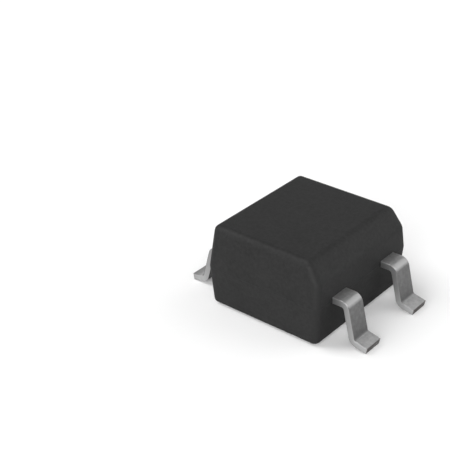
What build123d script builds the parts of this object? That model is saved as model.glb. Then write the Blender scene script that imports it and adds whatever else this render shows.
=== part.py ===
from build123d import *
import os
from math import cos, radians, sin, tan

# Surface-mount bridge rectifier, in millimetres: four diode chips between two layers of lead plates,
# sealed in one moulded body, with a row of two formed leads on each side.
# +Z is up. Z = 0 is the board, which the toes of the leads touch, and the origin is under the body's middle.
# The direct-current leads leave on the +X side, where a long slope along the body's top edge marks them.

# Diode chips, each a square block with one face stepped down all round by a bevel
chip_side = 1.10
chip_thickness = 0.25
chip_bevel = 0.12
chip_gap_x = 0.40
chip_gap_y = 0.50
solder_thickness = 0.06
solder_margin = 0.02

# Lead strip and the plates that it widens into inside the body
lead_thickness = 0.21
lead_width = 0.70
lead_pitch = 2.54
bend_radius = 0.09
plate_margin = 0.05
plate_to_jog = 0.20
jog_run = 0.25
arm_gap = 0.20
arm_width = 0.35

# Formed part of a lead, outside the body
lead_reach = 1.25
shoulder_length = 0.45
leg_lean = 14.0
foot_slope = 12.0

# Moulded body
side_wall = 0.22
end_wall = 0.43
body_height = 2.63
parting_height = 1.30
stand_off = 0.04
side_draft = 3.3
upper_end_draft = 8.0
lower_end_draft = 5.5
slope_width = 0.41
slope_depth = 0.61
corner_radius = 0.20
top_radius = 0.18
underside_radius = 0.12

# Chip centres and the plates that cover them
chip_x = (chip_side + chip_gap_x) / 2
chip_y = (chip_side + chip_gap_y) / 2
plate_inner_x = chip_gap_x / 2 - plate_margin
plate_outer_x = chip_x + chip_side / 2 + plate_margin
plate_inner_y = chip_gap_y / 2 - plate_margin
plate_outer_y = chip_y + chip_side / 2 + plate_margin
jog_inner_x = plate_outer_x + plate_to_jog
jog_outer_x = jog_inner_x + jog_run
arm_inner_y = plate_outer_y + arm_gap
arm_outer_y = arm_inner_y + arm_width

# Body outline, which leaves a wall of moulding round the lead plates
half_width = jog_outer_x + side_wall
half_length = arm_outer_y + end_wall
underside = stand_off
parting_level = underside + parting_height
top = underside + body_height

# Levels of the lead strip's centre: it leaves the body at the parting line,
# and the chips and their solder lie between a lower and an upper layer of plates.
layer_step = (chip_thickness + lead_thickness) / 2 + solder_thickness
lower_level = parting_level - layer_step
upper_level = parting_level + layer_step
lead_y = lead_pitch / 2
strip_inner_y = lead_y - lead_width / 2

# Corners of a lead's centre line outside the body, on the +X side
lean = tan(radians(leg_lean))
slope = tan(radians(foot_slope))
shoulder_x = half_width + shoulder_length
toe_x = half_width + lead_reach - lead_thickness / 2 * sin(radians(foot_slope))
toe_z = lead_thickness / 2 * cos(radians(foot_slope))
heel_x = (shoulder_x + (parting_level - toe_z - toe_x * slope) * lean) / (1 - slope * lean)
heel_z = toe_z + (toe_x - heel_x) * slope

parts = {}


def keep(name, piece):
    """Label a finished piece and remember it for the body's cavity and for export."""
    piece.part.label = name
    parts[name] = piece.part


def strip(side, inner_points, y_low, y_high):
    """Strip bent along its centre line, from the toe on one side of the body to its inner points."""
    outer_points = [(toe_x, toe_z), (heel_x, heel_z), (shoulder_x, parting_level)]
    points = [(side * x, z) for x, z in outer_points + inner_points]
    bent_strip(points, y_low, y_high)


def bent_strip(points, y_low, y_high):
    """Strip of the lead's thickness along a side view of its centre line, between two places along Y."""
    with BuildSketch(Plane.XZ.offset(-(y_low + y_high) / 2)) as side_view:
        with BuildLine():
            FilletPolyline(*points, radius=bend_radius + lead_thickness / 2)
        trace(line_width=lead_thickness)
    extrude(side_view.sketch, amount=(y_high - y_low) / 2, both=True)


def plate(level, x_low, x_high, y_low, y_high):
    """Flat plate of the lead's thickness about one level."""
    with BuildSketch(Plane.XY.offset(level)) as outline:
        with Locations(((x_low + x_high) / 2, (y_low + y_high) / 2)):
            Rectangle(x_high - x_low, y_high - y_low)
    extrude(outline.sketch, amount=lead_thickness / 2, both=True)


def dc_lead(name, row):
    """Direct-current lead on the +X side, which drops to a lower plate under one row of chips."""
    y_edges = sorted([row * strip_inner_y, row * (strip_inner_y + lead_width)])
    plate_edges = sorted([row * plate_inner_y, row * plate_outer_y])
    with BuildPart() as lead:
        inner_points = [(jog_outer_x, parting_level), (jog_inner_x, lower_level), (plate_inner_x, lower_level)]
        strip(1, inner_points, *y_edges)
        plate(lower_level, -plate_outer_x, plate_outer_x, *plate_edges)
    keep(name, lead)


dc_lead("positive_lead", -1)
dc_lead("negative_lead", 1)

# First alternating-current lead: it rises to the upper plate over the chips nearest its own side.
with BuildPart() as ac_lead_one:
    rise = [(jog_outer_x, parting_level), (jog_inner_x, upper_level), (plate_inner_x, upper_level)]
    strip(-1, rise, -strip_inner_y - lead_width, -strip_inner_y)
    plate(upper_level, -plate_outer_x, -plate_inner_x, -plate_outer_y, plate_outer_y)
keep("ac_lead_one", ac_lead_one)

# Second alternating-current lead: level with its exit it turns outward, passes the end of the first lead's
# plate as a narrow arm, and rises to the upper plate over the far chips.
with BuildPart() as ac_lead_two:
    strip(-1, [(jog_inner_x, parting_level)], strip_inner_y, strip_inner_y + lead_width)
    plate(parting_level, -jog_outer_x, -jog_inner_x, strip_inner_y, arm_outer_y)
    arm = [
        (-jog_outer_x, parting_level),
        (plate_inner_x - jog_run, parting_level),
        (plate_inner_x, upper_level),
        (plate_outer_x, upper_level),
    ]
    bent_strip(arm, arm_inner_y, arm_outer_y)
    plate(upper_level, plate_inner_x, plate_outer_x, -plate_outer_y, arm_outer_y)
keep("ac_lead_two", ac_lead_two)


def square_block(x, y, side, bottom, height):
    """Upright square block, centred on one chip."""
    with BuildSketch(Plane.XY.offset(bottom)) as outline:
        with Locations((x, y)):
            Rectangle(side, side)
    extrude(outline.sketch, amount=height)


def diode(name, x, y, bevel_up):
    """Chip with its glass collar round the bevelled face, and the solder above and below it."""
    chip_bottom = parting_level - chip_thickness / 2
    chip_top = chip_bottom + chip_thickness
    with BuildPart() as chip:
        square_block(x, y, chip_side, chip_bottom, chip_thickness)
        rim = chip.edges().group_by(Axis.Z)[-1 if bevel_up else 0]
        chamfer(rim, length=chip_bevel)
    keep(name + "_chip", chip)

    with BuildPart() as collar:
        square_block(x, y, chip_side, chip_bottom, chip_thickness)
        add(chip.part, mode=Mode.SUBTRACT)
    keep(name + "_glass_collar", collar)

    full_side = chip_side - 2 * solder_margin
    bevelled_side = full_side - 2 * chip_bevel
    lower_side, upper_side = (full_side, bevelled_side) if bevel_up else (bevelled_side, full_side)
    with BuildPart() as lower_solder:
        square_block(x, y, lower_side, chip_bottom - solder_thickness, solder_thickness)
    keep(name + "_lower_solder", lower_solder)

    with BuildPart() as upper_solder:
        square_block(x, y, upper_side, chip_top, solder_thickness)
    keep(name + "_upper_solder", upper_solder)


# The chips on the positive plate have their bevelled side up, and those on the negative plate have it down.
for row_name, row, bevel_up in (("positive", -1, True), ("negative", 1, False)):
    for column_name, column in (("one", -1), ("two", 1)):
        diode(f"{row_name}_{column_name}", column * chip_x, row * chip_y, bevel_up)

# Moulded body: a side view with drafts above and below the parting line and the slope over the +X leads,
# crossed with an end view with the same drafts.
upper_height = top - parting_level
side_lean = tan(radians(side_draft))
upper_end_inset = upper_height * tan(radians(upper_end_draft))
lower_end_inset = parting_height * tan(radians(lower_end_draft))
slope_low_x = half_width - (upper_height - slope_depth) * side_lean
with BuildPart() as body:
    with BuildSketch(Plane.XZ):
        with BuildLine():
            Polyline(
                (parting_height * side_lean - half_width, underside),
                (half_width - parting_height * side_lean, underside),
                (half_width, parting_level),
                (slope_low_x, top - slope_depth),
                (slope_low_x - slope_width, top),
                (upper_height * side_lean - half_width, top),
                (-half_width, parting_level),
                close=True,
            )
        make_face()
    extrude(amount=half_length, both=True)
    with BuildSketch(Plane.YZ):
        with BuildLine():
            Polyline(
                (lower_end_inset - half_length, underside),
                (half_length - lower_end_inset, underside),
                (half_length, parting_level),
                (half_length - upper_end_inset, top),
                (upper_end_inset - half_length, top),
                (-half_length, parting_level),
                close=True,
            )
        make_face()
    extrude(amount=half_width, both=True, mode=Mode.INTERSECT)

    # Rounded corners between the sides and the ends, then the softer edges of the top, slope and underside
    corners = body.edges().filter_by(Axis.X, reverse=True).filter_by(Axis.Y, reverse=True)
    fillet(corners, radius=corner_radius)
    slope_foot = body.edges().filter_by(Axis.Y).group_by(Axis.Z)[-2]
    fillet(body.faces().sort_by(Axis.Z)[-1].edges() + slope_foot, radius=top_radius)
    fillet(body.faces().sort_by(Axis.Z)[0].edges(), radius=underside_radius)

    # The cavity is what the leads, chips, collars and solder fill
    add(list(parts.values()), mode=Mode.SUBTRACT)
keep("moulded_body", body)

os.makedirs("parts", exist_ok=True)
for name, piece in parts.items():
    export_step(piece, f"parts/{name}.step")
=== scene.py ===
from math import cos, pi, radians, sin, tan

import bmesh
import bpy
import numpy as np
from mathutils import Matrix, Vector


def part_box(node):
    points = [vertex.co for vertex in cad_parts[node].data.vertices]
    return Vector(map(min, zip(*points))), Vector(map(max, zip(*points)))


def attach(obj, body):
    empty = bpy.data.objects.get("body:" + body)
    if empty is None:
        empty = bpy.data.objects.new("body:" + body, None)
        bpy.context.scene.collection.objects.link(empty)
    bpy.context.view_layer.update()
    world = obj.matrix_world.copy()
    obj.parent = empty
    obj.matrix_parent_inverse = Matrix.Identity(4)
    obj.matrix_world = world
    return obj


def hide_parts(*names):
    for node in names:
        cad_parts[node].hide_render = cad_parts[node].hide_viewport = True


# Surface-mount bridge rectifier: a moulded body and four formed leads round the sealed chips.
# Sizes are in millimetres, and turn into metres where a mesh, a relief or the camera is made.
MM = 0.001

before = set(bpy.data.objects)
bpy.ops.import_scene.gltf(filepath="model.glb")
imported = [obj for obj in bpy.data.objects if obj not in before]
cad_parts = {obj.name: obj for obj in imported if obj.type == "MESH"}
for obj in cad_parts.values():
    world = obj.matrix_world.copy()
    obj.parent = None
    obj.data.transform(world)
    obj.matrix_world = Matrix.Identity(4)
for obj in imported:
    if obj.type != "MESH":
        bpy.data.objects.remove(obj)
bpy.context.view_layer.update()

# Sizes of the moulded body. Its reach is read from model.glb, and its drafts and its slope are the solid's.
# The slope's edges, the top edges of the ends and the edge at the parting line are rounder than there.
body_low, body_high = (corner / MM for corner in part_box("moulded_body"))
half_width = body_high.x
half_length = body_high.y
underside = body_low.z
top = body_high.z
parting_height = 1.30
side_draft = 3.3
upper_end_draft = 8.0
lower_end_draft = 5.5
slope_width = 0.41
slope_depth = 0.61
corner_radius = 0.20
least_corner_radius = 0.03
top_radius = 0.18
slope_radius = 0.34
end_top_radius = 0.25
underside_radius = 0.12
parting_radius = 0.8

parting_level = underside + parting_height
slope_foot = top - slope_depth


# Materials

class Wire:
    """Output of a node. Arithmetic on it adds Math nodes."""

    def __init__(self, finish, socket):
        self.finish = finish
        self.socket = socket

    def __add__(self, other):
        return self.finish.math("ADD", self, other)

    __radd__ = __add__

    def __sub__(self, other):
        return self.finish.math("SUBTRACT", self, other)

    def __rsub__(self, other):
        return self.finish.math("SUBTRACT", other, self)

    def __mul__(self, other):
        return self.finish.math("MULTIPLY", self, other)

    __rmul__ = __mul__


class Finish:
    """Node tree of one material or of the world."""

    def __init__(self, owner):
        owner.use_nodes = True
        self.owner = owner
        self.tree = owner.node_tree
        self.tree.nodes.clear()

    def node(self, kind, settings=None, inputs=None, output=0):
        """Adds a node of a type, applies its settings, sets or links its sockets, and returns one output."""
        made = self.tree.nodes.new("ShaderNode" + kind)
        for setting, value in (settings or {}).items():
            if setting == "stops":
                for stop in value[2:]:
                    made.color_ramp.elements.new(stop[0])
                for element, (place, shade) in zip(made.color_ramp.elements, value):
                    element.position = place
                    element.color = (shade, shade, shade, 1)
            else:
                setattr(made, setting, value)
        for socket, value in (inputs or {}).items():
            if isinstance(value, Wire):
                self.tree.links.new(value.socket, made.inputs[socket])
            else:
                made.inputs[socket].default_value = value
        return Wire(self, made.outputs[output]) if made.outputs else None

    def math(self, operation, first, second=0.0):
        return self.node("Math", {"operation": operation}, {0: first, 1: second})

    def product(self, first, second):
        """Product of two vectors or colours, part by part."""
        return self.node("VectorMath", {"operation": "MULTIPLY"}, {0: first, 1: second})

    def coordinate(self, vector, axis):
        return self.node("SeparateXYZ", {}, {0: vector}, output=axis)

    def stored(self, name, output="Fac"):
        """Value that the piece's vertices store under a name."""
        return self.node("Attribute", {"attribute_name": name}, output=output)

    def ray(self, kind):
        """1 for rays of a kind: Camera, Glossy for mirrored ones, Transmission for those through glass."""
        return self.node("LightPath", output=f"Is {kind} Ray")

    def place(self, stretch=(1, 1, 1)):
        """Place on the piece in millimetres, stretched by a factor along each axis."""
        metres = self.node("TexCoord", output="Object")
        return self.product(metres, tuple(factor / MM for factor in stretch))

    def noise(self, place, per_mm, detail=2.0, roughness=0.5):
        inputs = {"Vector": place, "Scale": per_mm, "Detail": detail, "Roughness": roughness}
        return self.node("TexNoise", {}, inputs)

    def ramp(self, value, *stops):
        """Grey level against a value from 0 to 1, through stops of (value, level)."""
        return self.node("ValToRGB", {"stops": stops}, {"Fac": value})

    def blend(self, share, first, second):
        """Colour between two colours."""
        settings = {"data_type": "RGBA"}
        return self.node("Mix", settings, {0: share, 6: first, 7: second}, output=2)

    def bump(self, height, depth, below=None):
        """Relief with a depth in millimetres, over another relief if one is given."""
        inputs = {"Height": height, "Strength": 1.0, "Distance": depth * MM}
        if below:
            inputs["Normal"] = below
        return self.node("Bump", {}, inputs)

    def surface(self, inputs):
        """Ends a material in a Principled shader."""
        shader = self.node("BsdfPrincipled", {}, inputs)
        self.node("OutputMaterial", {}, {"Surface": shader})
        return self.owner


def grey(level, warmth=0.0):
    """Near-neutral linear colour."""
    return (level * (1 + warmth), level, level * (1 - warmth), 1)


compound_shade = 0.0198
compound_gloss = 0.150
compound_roughness = 0.53
filler_shade = 0.020
# The next shade paints a highlight on the vertical corners.
corner_highlight_shade = 0.022
# The lift paints the lower half paler, as painted light against its shade.
lower_half_painted_lift = 0.0013
seam_half_width = 0.022


def moulding_compound():
    """Black silica-filled epoxy with the matt grain of an eroded mould, and a painted highlight on its
    corners.

    The lower half is painted a touch paler against its shade, and a fine seam runs along the parting line.
    """
    finish = Finish(bpy.data.materials.new("black_moulding_compound"))
    place = finish.place()
    rubbed = finish.stored("rubbed")
    cloud = finish.noise(place, per_mm=0.9, detail=3)
    mottle = finish.noise(place, per_mm=10, detail=3, roughness=0.6)
    filler = finish.ramp(finish.noise(place, per_mm=26, detail=1), (0.62, 0), (0.74, 1))
    above_parting = finish.coordinate(place, "Z") - parting_level
    lower_half = finish.ramp(above_parting + 0.5, (0.47, 1), (0.51, 0))
    seam = finish.ramp(finish.math("ABSOLUTE", above_parting), (0.0, 1), (seam_half_width, 0))
    unevenness = 0.35 + 1.3 * (0.3 * cloud + 0.7 * mottle)
    # Painted light: the lower half is lifted paler against the shade of its downward lean.
    shade = (compound_shade + lower_half_painted_lift * lower_half) * unevenness
    shade = finish.blend(0.35 * filler, shade, grey(filler_shade))
    # Painted highlight: paler shade on the vertical corners, by the share that each vertex stores.
    shade = finish.blend(rubbed * (0.7 + 0.5 * filler), shade, grey(corner_highlight_shade))
    grain = finish.noise(place, per_mm=34, detail=3, roughness=0.6)
    ripple = finish.noise(place, per_mm=2.2, detail=1)
    relief = finish.bump(ripple, depth=0.004)
    relief = finish.bump(seam, depth=0.003, below=relief)
    relief = finish.bump(grain, depth=0.003, below=relief)
    return finish.surface({
        "Base Color": shade,
        "Roughness": compound_roughness + 0.08 * (grain - 0.5) + 0.05 * (cloud - 0.5),
        "Specular IOR Level": compound_gloss,
        "Normal": relief,
    })


tin_metallic = 0.8
tin_roughness = 0.36
# Shade of the painted highlight on the outer side of the upper bend
bend_highlight_shade = 0.30
# Shade painted on the inner side of the bends past the foot
inner_bend_painted_shade = 0.13
cut_copper = (0.075, 0.066, 0.060, 1)

# Painted light and shade on the tin along a lead, against half the distance from its toe in millimetres. The
# shoulder and foot's inner end are palest, the leg darkest at the heel, and trimmed sides darker by the
# body.
painted_face_shades = [
    (0.0, 0.26), (0.05, 0.26), (0.12, 0.31), (0.16, 0.42), (0.19, 0.44), (0.225, 0.22),
    (0.25, 0.140), (0.28, 0.133), (0.35, 0.158), (0.45, 0.176), (0.60, 0.195), (0.75, 0.198),
    (0.785, 0.158), (0.81, 0.28), (0.84, 0.56), (0.88, 0.52), (1.0, 0.38),
]
painted_side_shades = [
    (0.0, 0.55), (0.22, 0.54), (0.30, 0.48), (0.50, 0.42), (0.75, 0.395), (0.85, 0.36), (1.0, 0.26),
]
past_foot = [(0.22, 0), (0.27, 1)]
past_leg = [(0.765, 0), (0.80, 1)]


def tin_plate():
    """Dull tin over the lead strip: fine crystals, faint rolling lines, and trimmed sides painted paler.

    A painted highlight brightens the outer side of the upper bend, and painted shade darkens the inner side
    of each bend past the foot. The cut toe is bare metal.
    """
    finish = Finish(bpy.data.materials.new("dull_tin_plate"))
    flat_place = finish.stored("flat_place", output="Vector")
    formed = finish.stored("formed")
    trimmed_side = finish.stored("trimmed_side")
    sheared = finish.stored("sheared")
    along_lead = 0.5 * finish.coordinate(flat_place, "X")
    bend_highlight = finish.math("MAXIMUM", formed, 0.0) * finish.ramp(along_lead, *past_leg)
    inner_bend_shade = finish.math("MAXIMUM", -1 * formed, 0.0) * finish.ramp(along_lead, *past_foot)
    lines = finish.noise(finish.product(flat_place, (1.2, 30, 30)), per_mm=1, detail=2)
    crystals = finish.noise(finish.place(), per_mm=48, detail=2, roughness=0.6)
    mottle = finish.noise(finish.place(), per_mm=7, detail=3, roughness=0.6)
    unevenness = finish.blend(mottle, grey(0.6), grey(1.4))
    # Painted light and shade along the lead: paler shoulder and foot end, darker heel.
    shade = finish.product(unevenness, finish.ramp(along_lead, *painted_face_shades))
    shade = finish.blend(0.12 * lines, shade, grey(0.0))
    # Painted highlight on the outer side of the upper bend.
    shade = finish.blend(bend_highlight, shade, grey(bend_highlight_shade))
    # Painted shade in the crease on the inner side of each bend past the foot.
    shade = finish.blend(inner_bend_shade, shade, grey(inner_bend_painted_shade))
    # Painted light: the trimmed sides are painted paler, and darker towards the body.
    shade = finish.blend(trimmed_side, shade, finish.ramp(along_lead, *painted_side_shades))
    shade = finish.blend(0.85 * sheared, shade, cut_copper)
    relief = finish.bump(lines, depth=0.0012)
    relief = finish.bump(crystals, depth=0.0011, below=relief)
    worked = 0.15 * inner_bend_shade - 0.05 * bend_highlight + 0.08 * sheared
    return finish.surface({
        "Base Color": shade,
        "Metallic": tin_metallic,
        "Roughness": tin_roughness + 0.10 * (crystals - 0.5) + worked,
        "Normal": relief,
    })


def silicon():
    """Sawn and etched chip, dark with a faint blue cast."""
    finish = Finish(bpy.data.materials.new("etched_silicon"))
    etch = finish.noise(finish.place(stretch=(1, 1, 6)), per_mm=14, detail=3)
    return finish.surface({
        "Base Color": finish.blend(etch, (0.055, 0.06, 0.075, 1), (0.11, 0.115, 0.13, 1)),
        "Metallic": 0.6,
        "Roughness": 0.22 + 0.2 * etch,
        "Normal": finish.bump(etch, depth=0.0012),
    })


def passivation_glass():
    """Fired glass round the chip's bevel, milky in places."""
    finish = Finish(bpy.data.materials.new("passivation_glass"))
    milk = finish.noise(finish.place(), per_mm=9, detail=3)
    return finish.surface({
        "Base Color": finish.blend(milk, (0.26, 0.31, 0.30, 1), (0.46, 0.50, 0.47, 1)),
        "Roughness": 0.08 + 0.16 * milk,
        "Coat Weight": 0.3,
        "Normal": finish.bump(milk, depth=0.002),
    })


def solder():
    """High-lead solder, frozen in coarse grains."""
    finish = Finish(bpy.data.materials.new("die_solder"))
    cells = finish.node("TexVoronoi", {"feature": "F1"}, {"Vector": finish.place(), "Scale": 11.0})
    skin = finish.noise(finish.place(), per_mm=30, detail=2)
    return finish.surface({
        "Base Color": finish.blend(cells, grey(0.42, warmth=0.01), grey(0.56, warmth=0.01)),
        "Metallic": 1.0,
        "Roughness": 0.34 + 0.2 * skin,
        "Normal": finish.bump(cells + 0.4 * skin, depth=0.003),
    })


MOULDING = moulding_compound()
TIN = tin_plate()


# Mesh helpers

def filleted(corners, radii, steps):
    """Points along a run of corners in a plane, with each inner corner rounded by its own radius."""
    points = [Vector(corners[0])]
    for before, corner, after, radius in zip(corners, corners[1:], corners[2:], radii):
        corner = Vector(corner)
        inward = (Vector(before) - corner).normalized()
        onward = (Vector(after) - corner).normalized()
        half = inward.angle(onward) / 2
        reach = radius / tan(half)
        centre = corner + (inward + onward).normalized() * radius / sin(half)
        first = corner + inward * reach - centre
        last = corner + onward * reach - centre
        turn = first.angle(last)
        for step in range(steps + 1):
            share = step / steps
            swing = (first * sin((1 - share) * turn) + last * sin(share * turn)) / sin(turn)
            points.append(centre + swing)
    points.append(Vector(corners[-1]))
    return points


def quarter_turn(start, steps):
    """Angles of a quarter turn from a starting angle in degrees."""
    return [radians(start + 90 * step / steps) for step in range(steps + 1)]


def closed_outline(arcs, spans):
    """Closed run of points: each arc, then the points that divide the way to the next into its spans."""
    outline = []
    for arc, following, count in zip(arcs, arcs[1:] + arcs[:1], spans):
        outline += arc
        outline += np.linspace(arc[-1], following[0], count + 1)[1:-1].tolist()
    return outline


def skin_rings(shape, rings):
    """Skins one closed ring of vertices to the next, and closes the first and the last."""
    for ring, following in zip(rings, rings[1:]):
        for here in range(len(ring)):
            there = (here + 1) % len(ring)
            shape.faces.new((ring[here], ring[there], following[there], following[here]))
    shape.faces.new(rings[0])
    shape.faces.new(rings[-1])


def mesh_piece(name, shape, finish):
    """Object from a bmesh in millimetres, smooth shaded, with one material."""
    bmesh.ops.recalc_face_normals(shape, faces=shape.faces)
    bmesh.ops.scale(shape, vec=(MM, MM, MM), verts=shape.verts)
    for face in shape.faces:
        face.smooth = True
    data = bpy.data.meshes.new(name)
    shape.to_mesh(data)
    shape.free()
    data.materials.append(finish)
    piece = bpy.data.objects.new(name, data)
    bpy.context.scene.collection.objects.link(piece)
    return piece


# Moulded body, skinned over outlines from the underside to the top

# Fineness of its mesh, with bands of close levels and a narrow rim round each flat face
wall_arc_steps = 40
underside_arc_steps = 10
top_arc_steps = 14
corner_steps = 10
side_spans = 17
parting_band = 0.015
parting_band_gap = 0.005
foot_band = 0.11
foot_band_gap = 0.01
underside_rim = 0.03
top_rim = 0.02
flat_reach = 1

# Share of the painted highlight on the corners against the level
corner_highlight_levels = [underside, underside + 0.1, top - 0.25, top - 0.05]
corner_highlight_there = [0, 1, 1, 0]


class Wall:
    """Distance of a side of the body from the middle, level by level, with and without rounded edges.

    The flat underside and top run on inward from its first and last corners, so that those are rounded too.
    """

    def __init__(self, corners, radii):
        start = (corners[0][0] - flat_reach, corners[0][1])
        end = (corners[-1][0] - flat_reach, corners[-1][1])
        rounded = filleted([start, *corners, end], radii, wall_arc_steps)[1:-1]
        self.levels = [point.y for point in rounded]
        self.distances = [point.x for point in rounded]
        self.plain_levels = [corner[1] for corner in corners]
        self.plain_distances = [corner[0] for corner in corners]

    def at(self, level):
        return float(np.interp(level, self.levels, self.distances))

    def inset(self, level):
        """How far the rounded edges draw the wall in."""
        return float(np.interp(level, self.plain_levels, self.plain_distances)) - self.at(level)


def drafted(half, lower_draft, upper_draft):
    """Corners of a wall that leans in from the parting line to the underside and to the top."""
    return [
        (half - (parting_level - underside) * tan(radians(lower_draft)), underside),
        (half, parting_level),
        (half - (top - parting_level) * tan(radians(upper_draft)), top),
    ]


slope_low_x = half_width - (slope_foot - parting_level) * tan(radians(side_draft))
ac_corners = drafted(half_width, side_draft, side_draft)
dc_corners = [*ac_corners[:2], (slope_low_x, slope_foot), (slope_low_x - slope_width, top)]
end_corners = drafted(half_length, lower_end_draft, upper_end_draft)
ac_wall = Wall(ac_corners, [underside_radius, parting_radius, top_radius])
dc_wall = Wall(dc_corners, [underside_radius, parting_radius, slope_radius, slope_radius])
end_wall = Wall(end_corners, [underside_radius, parting_radius, end_top_radius])


def rounding_levels(edge, radius, steps):
    """Levels spaced evenly round an edge's arc, from the flat face to the wall."""
    return [edge - radius * (1 - cos(turn)) for turn in quarter_turn(0, steps)]


def body_levels():
    """Levels of the body's outlines, close together where a wall bends."""
    stretches = [
        (underside + underside_radius, parting_level - parting_band - parting_band_gap, 14),
        (parting_level - parting_band, parting_level + parting_band, 7),
        (parting_level + parting_band + parting_band_gap, slope_foot - foot_band - foot_band_gap, 7),
        (slope_foot - foot_band, slope_foot + foot_band, 17),
        (slope_foot + foot_band + foot_band_gap, top - top_radius, 8),
    ]
    levels = rounding_levels(top, top_radius, top_arc_steps)
    levels += rounding_levels(underside, -underside_radius, underside_arc_steps)
    for low, high, count in stretches:
        levels += np.linspace(low, high, count).tolist()
    return sorted({round(level, 5) for level in levels})


def body_outline(level, draw_in):
    """Rounded rectangle of the body at one level, anticlockwise, as (x, y, 1 in the middle of a corner).

    Its corners get tighter where the end walls round over into the top and the underside.
    """
    rounding = max(corner_radius - end_wall.inset(level), least_corner_radius) - draw_in
    x_low, x_high = draw_in - ac_wall.at(level), dc_wall.at(level) - draw_in
    y_high = end_wall.at(level) - draw_in
    corners = [(x_high, -y_high, -90), (x_high, y_high, 0), (x_low, y_high, 90), (x_low, -y_high, 180)]
    arcs = []
    for x, y, start in corners:
        x_centre = x - rounding if x > 0 else x + rounding
        y_centre = y - rounding if y > 0 else y + rounding
        arc = []
        for step, turn in enumerate(quarter_turn(start, corner_steps)):
            at_corner = sin(pi * step / corner_steps)
            arc.append((x_centre + rounding * cos(turn), y_centre + rounding * sin(turn), at_corner))
        arcs.append(arc)
    return closed_outline(arcs, [side_spans] * 4)


def make_body():
    shape = bmesh.new()
    rubbed = shape.verts.layers.float.new("rubbed")
    levels = body_levels()
    sections = [(levels[0], underside_rim), *((level, 0.0) for level in levels), (levels[-1], top_rim)]
    rings = []
    for level, draw_in in sections:
        corner_highlight_share = float(np.interp(level, corner_highlight_levels, corner_highlight_there))
        ring = []
        for x, y, at_corner in body_outline(level, draw_in):
            vertex = shape.verts.new((x, y, level))
            # Each corner vertex stores its share of the painted highlight.
            vertex[rubbed] = corner_highlight_share * at_corner
            ring.append(vertex)
        rings.append(ring)
    skin_rings(shape, rings)
    return mesh_piece("black_body", shape, MOULDING)


body = make_body()
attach(body, "root")
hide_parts("moulded_body")


# Leads, each a strip swept along its bent centre line

lead_thickness = 0.21
lead_width = 0.70
lead_pitch = 2.54
bend_radius = 0.09
shoulder_length = 0.45
lead_reach = 1.25
leg_lean = 14.0
foot_slope = 12.0

# Stamped edges: the upper ones are rolled over, the lower ones crisp, and the rim of each cut end is broken
rolled_edge = 0.025
crisp_edge = 0.012
cut_rim = 0.014

# Fineness of a lead's mesh, and how near its edge a point counts as trimmed
bend_steps = 14
edge_steps = 5
face_spans = 9
side_face_spans = 3
side_tolerance = 0.001

# Plates, jogs and the arm inside the body, which take their places from the chips. A strip changes its width
# over a short length, and the far plate starts a little past the bend of the arm.
chip_side = 1.10
chip_thickness = 0.25
chip_gap_x = 0.40
chip_gap_y = 0.50
solder_thickness = 0.06
plate_margin = 0.05
plate_to_jog = 0.20
jog_run = 0.25
arm_gap = 0.20
arm_width = 0.35
width_change = 0.03
far_plate_set_back = 0.12

strip_inner_y = (lead_pitch - lead_width) / 2
strip_outer_y = strip_inner_y + lead_width
plate_inner_x = chip_gap_x / 2 - plate_margin
plate_outer_x = chip_gap_x / 2 + chip_side + plate_margin
plate_inner_y = chip_gap_y / 2 - plate_margin
plate_outer_y = chip_gap_y / 2 + chip_side + plate_margin
far_plate_x = plate_inner_x + far_plate_set_back
jog_inner_x = plate_outer_x + plate_to_jog
jog_outer_x = jog_inner_x + jog_run
arm_inner_y = plate_outer_y + arm_gap
arm_outer_y = arm_inner_y + arm_width
layer_step = (chip_thickness + lead_thickness) / 2 + solder_thickness
upper_level = parting_level + layer_step
lower_level = parting_level - layer_step

# Corners of the centre line outside the body
lean = tan(radians(leg_lean))
slope = tan(radians(foot_slope))
shoulder_x = half_width + shoulder_length
toe_x = half_width + lead_reach - lead_thickness / 2 * sin(radians(foot_slope))
toe_z = lead_thickness / 2 * cos(radians(foot_slope))
heel_x = (shoulder_x + (parting_level - toe_z - toe_x * slope) * lean) / (1 - slope * lean)
heel_z = toe_z + (toe_x - heel_x) * slope


def strip_stations(corners):
    """Points along a rounded centre line, with their heading and their curl to the left, from -1 to 1."""
    radii = [bend_radius + lead_thickness / 2] * (len(corners) - 2)
    points = filleted(corners, radii, bend_steps)
    stations = [(points[0], (points[1] - points[0]).normalized(), 0.0)]
    for number, (before, here, after) in enumerate(zip(points, points[1:], points[2:])):
        arriving, leaving = (here - before).normalized(), (after - here).normalized()
        step = number % (bend_steps + 1)
        curl = sin(pi * step / bend_steps) ** 0.5 if 0 < step < bend_steps else 0.0
        if arriving.x * leaving.y < arriving.y * leaving.x:
            curl = -curl
        stations.append((here, (arriving + leaving).normalized(), curl))
    stations.append((points[-1], (points[-1] - points[-2]).normalized(), 0.0))
    return stations


def strip_section():
    """Cross-section of the strip: share of the width, offset from there, place through the thickness."""
    upper = lead_thickness / 2 - rolled_edge
    lower = crisp_edge - lead_thickness / 2
    corners = [(1, upper, rolled_edge, 0), (0, upper, rolled_edge, 90)]
    corners += [(0, lower, crisp_edge, 180), (1, lower, crisp_edge, 270)]
    arcs = []
    for share, through, radius, start in corners:
        inset = -radius if share else radius
        arcs.append([
            (share, inset + radius * cos(turn), through + radius * sin(turn))
            for turn in quarter_turn(start, edge_steps)
        ])
    return closed_outline(arcs, [face_spans, side_face_spans] * 2)


def run_stations(runs):
    """Stations of all runs of a lead, each with its edges along Y."""
    stations = []
    for corners, y_low, y_high in runs:
        run = [(middle, heading, curl, y_low, y_high) for middle, heading, curl in strip_stations(corners)]
        if stations:
            middle, heading = run[0][:2]
            run[0] = (middle + heading * width_change, *run[0][1:])
        stations += run
    first, last = stations[0], stations[-1]
    after_first = (first[0] + first[1] * cut_rim, *first[1:])
    before_last = (last[0] - last[1] * cut_rim, *last[1:])
    return [first, after_first, *stations[1:-1], before_last, last]


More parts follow.
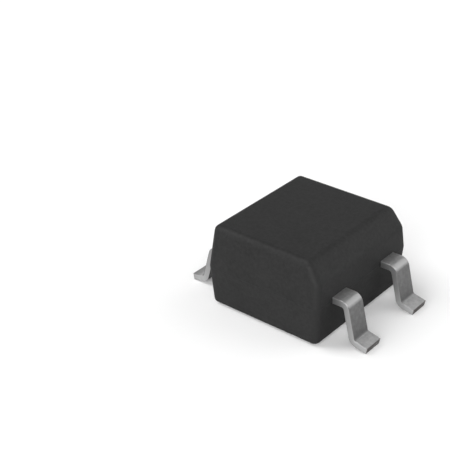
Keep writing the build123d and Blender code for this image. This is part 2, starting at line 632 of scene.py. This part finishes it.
def make_lead(node, runs):
    """One lead from its runs in the XZ plane, toe first, each as (centre-line corners, y_low, y_high).

    Its rolled edges face up, on the left of the heading where it runs towards +X and on the right elsewhere.
    """
    shape = bmesh.new()
    flat_place = shape.verts.layers.float_vector.new("flat_place")
    formed = shape.verts.layers.float.new("formed")
    trimmed_side = shape.verts.layers.float.new("trimmed_side")
    sheared = shape.verts.layers.float.new("sheared")
    section = strip_section()
    stations = run_stations(runs)
    face_up = 1 if stations[-1][0].x > stations[0][0].x else -1
    y_middle = (runs[0][1] + runs[0][2]) / 2
    rings = []
    travelled = 0.0
    previous = stations[0][0]
    for number, (middle, heading, curl, y_low, y_high) in enumerate(stations):
        travelled += (middle - previous).length
        previous = middle
        draw_in = cut_rim if number in (0, len(stations) - 1) else 0.0
        half_through = lead_thickness / 2 - draw_in
        normal = Vector((-heading.y, heading.x)) * face_up
        ring = []
        for share, offset, through in section:
            y = y_low + share * (y_high - y_low) + offset
            on_side = min(y - y_low, y_high - y) < side_tolerance
            y = max(y_low + draw_in, min(y_high - draw_in, y))
            point = middle + normal * max(-half_through, min(half_through, through))
            vertex = shape.verts.new((point.x, y, point.y))
            vertex[flat_place] = (travelled, y - y_middle, through)
            vertex[formed] = -curl * face_up * through * 2 / lead_thickness
            vertex[trimmed_side] = 1.0 if on_side else 0.0
            vertex[sheared] = 1.0 if number == 0 else 0.0
            ring.append(vertex)
        rings.append(ring)
    skin_rings(shape, rings)
    lead = mesh_piece("tinned_" + node, shape, TIN)
    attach(lead, "root")
    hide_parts(node)


outside = [(toe_x, toe_z), (heel_x, heel_z), (shoulder_x, parting_level)]
other_side = [(-x, z) for x, z in outside]
drop = outside + [(jog_outer_x, parting_level), (jog_inner_x, lower_level), (plate_outer_x, lower_level)]
rise = [(-jog_outer_x, parting_level), (-jog_inner_x, upper_level), (-plate_outer_x, upper_level)]
lower_plate = [(plate_outer_x, lower_level), (plate_inner_x, lower_level), (-plate_outer_x, lower_level)]
near_plate = [(-plate_outer_x, upper_level), (-plate_inner_x, upper_level)]
far_plate = [(far_plate_x, upper_level), (plate_outer_x, upper_level)]
turn_out = [(-jog_outer_x, parting_level), (-jog_inner_x, parting_level)]
arm = [turn_out[1], (plate_inner_x - jog_run, parting_level), (plate_inner_x, upper_level), far_plate[0]]

make_lead("positive_lead", [
    (drop, -strip_outer_y, -strip_inner_y),
    (lower_plate[:2], -strip_outer_y, -plate_inner_y),
    (lower_plate[1:], -plate_outer_y, -plate_inner_y),
])
make_lead("negative_lead", [
    (drop, strip_inner_y, strip_outer_y),
    (lower_plate[:2], plate_inner_y, strip_outer_y),
    (lower_plate[1:], plate_inner_y, plate_outer_y),
])
make_lead("ac_lead_one", [
    (other_side + rise, -strip_outer_y, -strip_inner_y),
    (near_plate, -strip_outer_y, plate_outer_y),
])
make_lead("ac_lead_two", [
    (other_side + turn_out[:1], strip_inner_y, strip_outer_y),
    (turn_out, strip_inner_y, arm_outer_y),
    (arm, arm_inner_y, arm_outer_y),
    (far_plate, -plate_outer_y, arm_outer_y),
])


# Sealed inner pieces keep their CAD meshes

inner_finishes = {"_chip": silicon(), "_glass_collar": passivation_glass(), "_solder": solder()}
for node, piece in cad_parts.items():
    for ending, finish in inner_finishes.items():
        if node.endswith(ending):
            piece.data.materials.clear()
            piece.data.materials.append(finish)


# Floor, light and camera

floor_reach = 900
floor_drop = 0.004
floor_seen = 0.86
floor_mirrored = 0.67
floor_lift = 0.14

room_light = 0.338
backdrop_shades = [(0.0, 1.0), (0.1, 0.95), (0.22, 0.82), (0.5, 0.40), (1.0, 0.36)]

# The camera's place in millimetres, its azimuth, elevation and roll in degrees, and its lens
camera_place = (16.886, -24.408, 19.128)
camera_view = (39.56, 29.47, -0.51)
camera_lens = 90.47
nearest_shown = 1
farthest_shown = 5000


def make_floor():
    """Pale floor just under the toes, clear from below, that glows a little where the camera sees it."""
    shape = bmesh.new()
    corners = [(-1, -1), (1, -1), (1, 1), (-1, 1)]
    shape.faces.new([shape.verts.new((x * floor_reach, y * floor_reach, -floor_drop)) for x, y in corners])
    finish = Finish(bpy.data.materials.new("white_table"))
    shown = finish.math("MAXIMUM", finish.ray("Camera"), finish.ray("Transmission"))
    paper = finish.node("BsdfPrincipled", {}, {
        "Base Color": finish.blend(finish.ray("Glossy"), grey(floor_seen), grey(floor_mirrored)),
        "Roughness": 0.9,
        "Specular IOR Level": 0.0,
        "Emission Color": finish.blend(shown, grey(0.0), grey(floor_lift)),
        "Emission Strength": 1.0,
    })
    behind = finish.node("NewGeometry", output="Backfacing")
    clear = finish.node("BsdfTransparent")
    shader = finish.node("MixShader", {}, {0: behind, 1: paper, 2: clear})
    finish.node("OutputMaterial", {}, {"Surface": shader})
    floor = mesh_piece("floor", shape, finish.owner)


def make_world():
    """Even room light. Seen or mirrored it is a backdrop, white at the horizon and greyer overhead."""
    finish = Finish(bpy.context.scene.world or bpy.data.worlds.new("room"))
    bpy.context.scene.world = finish.owner
    height = finish.coordinate(finish.node("TexCoord", output="Generated"), "Z")
    mirrored = finish.math("MAXIMUM", finish.ray("Glossy"), finish.ray("Transmission"))
    shown = finish.math("MAXIMUM", finish.ray("Camera"), mirrored)
    colour = finish.blend(shown, grey(room_light), finish.ramp(height, *backdrop_shades))
    background = finish.node("Background", {}, {"Color": colour, "Strength": 1.0})
    finish.node("OutputWorld", {}, {"Surface": background})


def facing(azimuth, elevation, roll=0.0):
    """Turn of a lamp or camera at an azimuth, counted from -Y towards +X, and an elevation."""
    turn, height, tilt = radians(azimuth), radians(elevation), radians(roll)
    back = Vector((sin(turn) * cos(height), -cos(turn) * cos(height), sin(height)))
    right = Vector((0, 0, 1)).cross(back).normalized()
    up = back.cross(right)
    across = right * cos(tilt) + up * sin(tilt)
    upward = up * cos(tilt) - right * sin(tilt)
    return Matrix((across, upward, back)).transposed().to_4x4()


def make_sun(name, azimuth, elevation, spread, strength):
    """Soft distant lamp, as wide as its spread in degrees."""
    data = bpy.data.lights.new(name, "SUN")
    data.energy = strength
    data.angle = radians(spread)
    lamp = bpy.data.objects.new(name, data)
    lamp.matrix_world = facing(azimuth, elevation)
    bpy.context.scene.collection.objects.link(lamp)


def make_camera():
    data = bpy.data.cameras.new("camera")
    data.sensor_width = 36
    data.lens = camera_lens
    data.clip_start = nearest_shown * MM
    data.clip_end = farthest_shown * MM
    camera = bpy.data.objects.new("camera", data)
    camera.matrix_world = Matrix.Translation(Vector(camera_place) * MM) @ facing(*camera_view)
    bpy.context.scene.collection.objects.link(camera)
    bpy.context.scene.camera = camera


make_floor()
make_world()
make_sun("left", azimuth=-65, elevation=48.5, spread=35, strength=1.45)
make_sun("front", azimuth=20, elevation=16, spread=60, strength=2.95)
make_sun("back", azimuth=142.4, elevation=32.4, spread=60, strength=0.9)
make_camera()
bpy.context.scene.view_settings.view_transform = "Standard"
